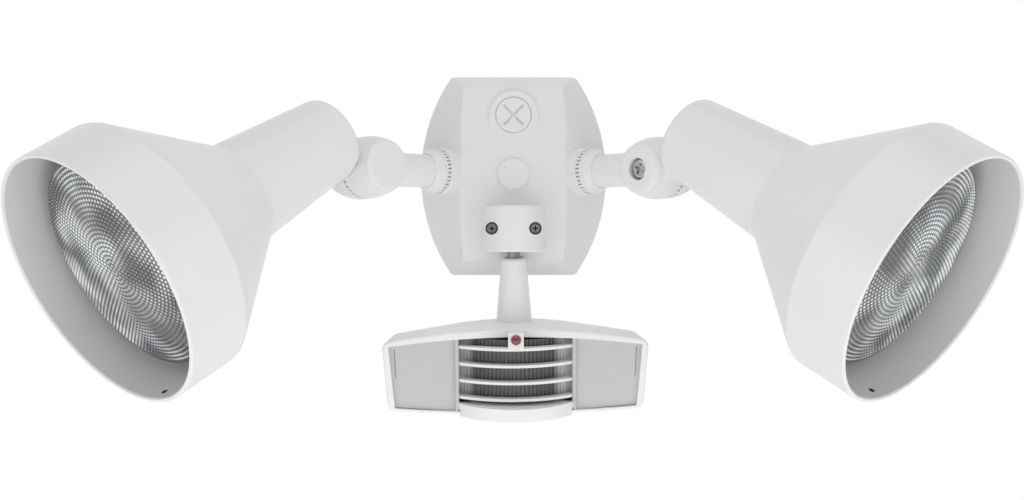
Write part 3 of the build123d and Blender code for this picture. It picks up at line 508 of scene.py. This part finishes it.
def makeRecessShades():
    # Thin dark bars on each clamp screw's head: painted shade for its cross recess.
    mesh = bmesh.new()
    bar = Matrix.Diagonal((recess["long"], recess["deep"], recess["wide"], 1))
    for x in (-recess["x"], recess["x"]):
        for angle in (0, 90):
            place = shift(x, recess["y"], recess["z"]) @ turnMatrix("Y", angle)
            bmesh.ops.create_cube(mesh, size=1.0, matrix=place @ bar)
    addPiece("clamp_screw_recess_shade", mesh, Matrix(), "cover", None, shade, False)


makeRecessShades()
print("drain holes and screw recesses made")

# Half of the sensor's face, seen from the front: corners as x outward and z up, depths along y
panel = {"front": -28.5, "back": -27.0, "top": (76.3, -62.0), "low": (73.4, -98.4),
         "meetX": 36.0, "meetTop": -54.9, "meetLow": -101.1,
         "innerX": 33.75, "innerTop": -54.7, "innerLow": -101.2, "lip": -30.7, "returnBack": -21.5,
         "lipRound": 0.9, "lipSegments": 4}
clip = {"topX": 71.9, "lowX": 71.1, "top": -63.4, "low": -81.0, "wide": 0.55, "proud": 0.05, "deep": 0.3}


def addPrism(mesh, corners, sign, start, end):
    # A straight piece along Y from corners given as (x, z).
    face = mesh.faces.new([mesh.verts.new((sign * x, start, z)) for x, z in corners])
    grown = bmesh.ops.extrude_face_region(mesh, geom=[face])["geom"]
    moved = [item for item in grown if isinstance(item, bmesh.types.BMVert)]
    bmesh.ops.translate(mesh, verts=moved, vec=(0, end - start, 0))


def makePanel(side):
    # A grey panel whose inner end turns back beside the louvre, with a dark strip of painted groove shade
    # near its outer end.
    sign = -1 if side == "left" else 1
    meet = [(panel["meetX"], panel["meetTop"]), (panel["meetX"], panel["meetLow"])]
    mesh = bmesh.new()
    addPrism(mesh, [meet[0], panel["top"], panel["low"], meet[1]], sign, panel["front"], panel["back"])
    inner = [(panel["innerX"], panel["innerLow"]), (panel["innerX"], panel["innerTop"])]
    addPrism(mesh, meet + inner, sign, panel["lip"], panel["returnBack"])
    lipEdges = [edge for edge in mesh.edges
                if all(abs(vert.co.y - panel["lip"]) < 0.01 for vert in edge.verts)
                and abs(edge.verts[0].co.z - edge.verts[1].co.z) > 1.0]
    bmesh.ops.bevel(mesh, geom=lipEdges, offset=panel["lipRound"], segments=panel["lipSegments"],
                    affect="EDGES", profile=0.5, material=-1)
    addPiece("grey_panel_" + side, mesh, sensorMatrix, "sensor", "side_panel_" + side, greyPlastic,
             False)
    # The clip groove is a thin dark strip standing just proud of the face: painted shade for the groove.
    groove = bmesh.new()
    half = clip["wide"] / 2
    line = [(clip["topX"] - half, clip["top"]), (clip["topX"] + half, clip["top"]),
            (clip["lowX"] + half, clip["low"]), (clip["lowX"] - half, clip["low"])]
    addPrism(groove, line, sign, panel["front"] - clip["proud"], panel["front"] + clip["deep"])
    addPiece("clip_groove_shade_" + side, groove, sensorMatrix, "sensor", None, notchShade, False)


for side in sides:
    makePanel(side)
print("panels made")


# Camera, floor and light; from here on sizes are in metres

view = {"distance": 0.8818, "x": -0.00094, "z": -0.0466, "focalPixels": 1389.9, "widePixels": 1024.0,
        "sensorMm": 36.0}
camera = bpy.data.objects.new("camera", bpy.data.cameras.new("camera"))
bpy.context.scene.collection.objects.link(camera)
camera.data.sensor_width = view["sensorMm"]
camera.data.lens = view["sensorMm"] * view["focalPixels"] / view["widePixels"]
camera.location = (view["x"], -view["distance"], view["z"])
camera.rotation_euler = (pi / 2, 0, 0)
bpy.context.scene.camera = camera


def seenBare(tree):
    # 1 for what the camera sees directly, mirrored or through glass, and 0 for what lights the object.
    rays = addNode(tree, "ShaderNodeLightPath").outputs
    direct = addNode(tree, "ShaderNodeMath", {"operation": "MAXIMUM"}, {
        0: rays["Is Camera Ray"], 1: rays["Is Glossy Ray"]})
    clear = addNode(tree, "ShaderNodeMath", {"operation": "MAXIMUM"}, {
        0: direct.outputs["Value"], 1: rays["Is Transmission Ray"]})
    return clear.outputs["Value"]


room = {"drop": 0.7, "size": 6.0, "paint": "#EDEDED", "roughness": 0.9}


def makeFloor():
    # Plain studio white: seen as white by the camera and by mirrors, and as pale paint by everything else.
    material, tree, shader = startMaterial("studio white", room["paint"], 0.0, room["roughness"])[:3]
    glow = addNode(tree, "ShaderNodeEmission", {}, {"Color": (1, 1, 1, 1), "Strength": 1.0})
    mix = addNode(tree, "ShaderNodeMixShader", {}, {
        0: seenBare(tree), 1: shader.outputs["BSDF"], 2: glow.outputs["Emission"]})
    tree.links.new(mix.outputs["Shader"], tree.nodes["Material Output"].inputs["Surface"])
    mesh = bmesh.new()
    floorPlace = shift(0, 0, cadBox[0][2] - room["drop"])
    bmesh.ops.create_grid(mesh, x_segments=1, y_segments=1, size=room["size"] / 2, matrix=floorPlace)
    addObject("floor", mesh, material)


makeFloor()

cards = {"places": ((-0.75, -1.3, 0.35), (0.35, -1.5, 0.75), (0.7, -1.2, -0.35), (-0.3, -1.5, -0.45)),
         "wide": 0.55, "target": (0, -0.1, -0.03), "paper": "#080808", "roughness": 0.9}


def makeCards():
    # Black cards that only bright metal and glass see, as a photographer sets them for chrome.
    paper = startMaterial("black card", cards["paper"], 0.0, cards["roughness"])[0]
    for number, place in enumerate(cards["places"], 1):
        facing = (Vector(cards["target"]) - Vector(place)).to_track_quat("Z", "Y").to_matrix().to_4x4()
        mesh = bmesh.new()
        bmesh.ops.create_grid(mesh, x_segments=1, y_segments=1, size=cards["wide"] / 2,
                              matrix=Matrix.Translation(place) @ facing)
        card = addObject("card " + str(number), mesh, paper)
        card.visible_camera = False
        card.visible_diffuse = False
        card.visible_shadow = False
        card.visible_transmission = False


makeCards()
print("floor and cards set")

lampTarget = Vector((0, -0.08, -0.02))
lamps = {
    "top": {"place": (0.0, -0.5, 1.5), "size": 1.2, "watts": 5.8},
    "left": {"place": (-1.5, -0.9, 0.1), "size": 0.9, "watts": 2.4},
    "right": {"place": (1.5, -1.0, 0.2), "size": 0.9, "watts": 2.2},
    "under": {"place": (0.0, -0.5, -0.62), "size": 1.2, "watts": 2.8},
    "lowLeft": {"place": (-1.0, -1.0, -0.6), "size": 1.0, "watts": 3.6},
    "lowRight": {"place": (1.0, -1.0, -0.6), "size": 1.0, "watts": 4.6},
}


def aimLamp(name, spec):
    light = bpy.data.lights.new(name, "AREA")
    light.size = spec["size"]
    light.energy = spec["watts"]
    lamp = bpy.data.objects.new(name, light)
    bpy.context.scene.collection.objects.link(lamp)
    lamp.location = spec["place"]
    lamp.rotation_euler = (lampTarget - lamp.location).to_track_quat("-Z", "Y").to_euler()


for name, spec in lamps.items():
    aimLamp(name, spec)

skyLight = {"onObject": 0.45, "seen": 1.0}
world = bpy.data.worlds.new("studio")
bpy.context.scene.world = world
world.use_nodes = True
sky = world.node_tree
background = sky.nodes["Background"]
background.inputs["Color"].default_value = (1, 1, 1, 1)
strength = addNode(sky, "ShaderNodeMix", {"data_type": "FLOAT"}, {
    0: seenBare(sky), 2: skyLight["onObject"], 3: skyLight["seen"]})
sky.links.new(strength.outputs[0], background.inputs["Strength"])
bpy.context.scene.view_settings.view_transform = "Standard"
print("lamps and world set")

print("scene ready")
